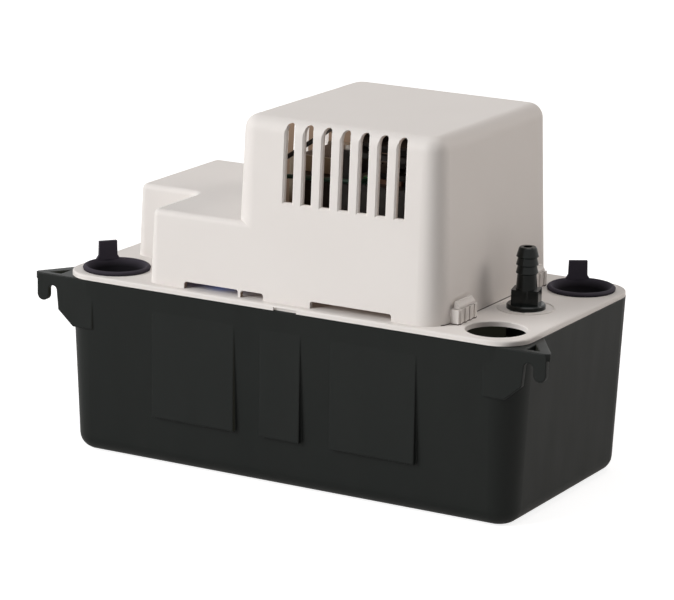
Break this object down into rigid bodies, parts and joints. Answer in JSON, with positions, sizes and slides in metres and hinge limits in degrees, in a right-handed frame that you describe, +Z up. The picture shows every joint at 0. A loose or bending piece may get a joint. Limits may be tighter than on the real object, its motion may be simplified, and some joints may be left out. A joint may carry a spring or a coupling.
{
  "type": "condensate pump",
  "caption": "Tank condensate pump with a louvred motor cover, float switch, centrifugal pump, barbed check valve, plugged inlets and hanging hooks.",
  "frame": {"origin": "centre of the bounding box's footprint, at the underside of the tank", "axes": "+X along the length towards the check valve, +Y towards the back, +Z up"},
  "size_m": [0.2776, 0.128, 0.1768],
  "materials": {
    "tank_black": "satin moulded plastic",
    "cover_white": "warm off-white moulded plastic, fine satin",
    "plug_rubber": "soft matt rubber",
    "valve_black": "smooth black plastic",
    "pump_black": "glass-filled black plastic",
    "ball_white": "turned plastic ball",
    "seal_rubber": "black rubber",
    "core_steel": "varnished steel laminations",
    "copper": "bare copper bar",
    "bobbin_natural": "natural nylon",
    "coil_tape": "varnished insulating tape",
    "bracket_black": "die-cast bracket with a black finish",
    "bronze": "sintered bronze",
    "screw_steel": "zinc-plated steel",
    "shaft_steel": "ground stainless steel",
    "rotor_steel": "turned rotor laminations",
    "fan_black": "moulded black plastic",
    "float_arm_white": "moulded acetal",
    "float_foam": "closed-cell black foam",
    "bracket_steel": "zinc-plated sheet steel",
    "switch_black": "moulded phenolic",
    "plunger_red": "small moulded button",
    "nut_blue": "blue moulded wire connector",
    "lead_black": "black wire insulation",
    "lead_white": "white wire insulation",
    "lead_green": "green wire insulation and tinned ring terminals",
    "screw_green": "green dyed zinc plating"
  },
  "bodies": {
    "tank": {"tank": "tank_black"},
    "pump_head": {"tank_lid": "cover_white", "motor_cover": "cover_white", "stator_core": "core_steel", "shading_rings": "copper", "coil_bobbin": "bobbin_natural", "stator_coil": "coil_tape", "lower_bearing_bracket": "bracket_black", "upper_bearing_bracket": "bracket_black", "lower_bearing": "bronze", "upper_bearing": "bronze", "motor_screws": "screw_steel", "pump_column": "pump_black", "column_screws": "screw_steel", "housing_screws": "screw_steel", "volute": "pump_black", "volute_cover": "pump_black", "volute_screws": "screw_steel", "intake_screen": "pump_black", "discharge_tube": "pump_black", "float_pivot_pin": "screw_steel", "float_bracket": "bracket_steel", "pump_switch": "switch_black", "safety_switch": "switch_black", "switch_screws": "screw_steel", "bracket_screws": "screw_steel", "wire_nut": "nut_blue", "cord_bushing": "seal_rubber", "lead_black": "lead_black", "lead_white": "lead_white", "lead_green": "lead_green", "ground_screw": "screw_green"},
    "rotor_assembly": {"rotor": "rotor_steel", "motor_shaft": "shaft_steel", "cooling_fan": "fan_black", "shaft_slinger": "seal_rubber", "impeller": "pump_black"},
    "float_assembly": {"float": "float_foam", "float_arm": "float_arm_white"},
    "pump_lever": {"pump_switch_lever": "shaft_steel"},
    "safety_lever": {"safety_switch_lever": "shaft_steel"},
    "pump_plunger": {"pump_switch_plunger": "plunger_red"},
    "safety_plunger": {"safety_switch_plunger": "plunger_red"},
    "check_valve": {"check_valve_body": "valve_black", "check_valve_seat": "pump_black", "check_valve_o_ring": "seal_rubber"},
    "valve_ball": {"check_ball": "ball_white"},
    "left_plug": {"inlet_plug_left": "plug_rubber"},
    "right_plug": {"inlet_plug_right": "plug_rubber"}
  },
  "joints": [
    {"name": "head_lift", "type": "slide", "parent": "tank", "child": "pump_head", "axis": [0, 0, 1], "range_m": [0, 0.115]},
    {"name": "rotor_spin", "type": "hinge", "parent": "pump_head", "child": "rotor_assembly", "pos_m": [0.034, -0.001, 0.132], "axis": [0, 0, 1], "continuous": true},
    {"name": "float_swing", "type": "hinge", "parent": "pump_head", "child": "float_assembly", "pos_m": [-0.03, -0.001, 0.097], "axis": [0, 1, 0], "range_deg": [0, 22]},
    {"name": "pump_lever_swing", "type": "hinge", "parent": "pump_head", "child": "pump_lever", "pos_m": [-0.064, -0.012, 0.0991], "axis": [0, 1, 0], "range_deg": [-7.5, 0]},
    {"name": "safety_lever_swing", "type": "hinge", "parent": "pump_head", "child": "safety_lever", "pos_m": [-0.064, 0.01, 0.0991], "axis": [0, 1, 0], "range_deg": [-7.5, 0]},
    {"name": "pump_plunger_press", "type": "slide", "parent": "pump_head", "child": "pump_plunger", "axis": [0, 0, 1], "range_m": [0, 0.001]},
    {"name": "safety_plunger_press", "type": "slide", "parent": "pump_head", "child": "safety_plunger", "axis": [0, 0, 1], "range_m": [0, 0.001]},
    {"name": "check_valve_twist", "type": "hinge", "parent": "pump_head", "child": "check_valve", "pos_m": [0.097, -0.002, 0.09], "axis": [0, 0, 1], "range_deg": [0, 90]},
    {"name": "valve_ball_lift", "type": "slide", "parent": "check_valve", "child": "valve_ball", "axis": [0, 0, 1], "range_m": [0, 0.004]},
    {"name": "left_plug_pull", "type": "slide", "parent": "pump_head", "child": "left_plug", "axis": [0, 0, 1], "range_m": [0, 0.03]},
    {"name": "right_plug_pull", "type": "slide", "parent": "pump_head", "child": "right_plug", "axis": [0, 0, 1], "range_m": [0, 0.03]}
  ],
  "couplings": [
    {"joint": "pump_lever_swing", "follows": "float_swing", "ratio": -0.33},
    {"joint": "safety_lever_swing", "follows": "float_swing", "ratio": -0.33},
    {"joint": "pump_plunger_press", "follows": "float_swing", "m_per_rad": 0.002344},
    {"joint": "safety_plunger_press", "follows": "float_swing", "m_per_rad": 0.002344}
  ]
}
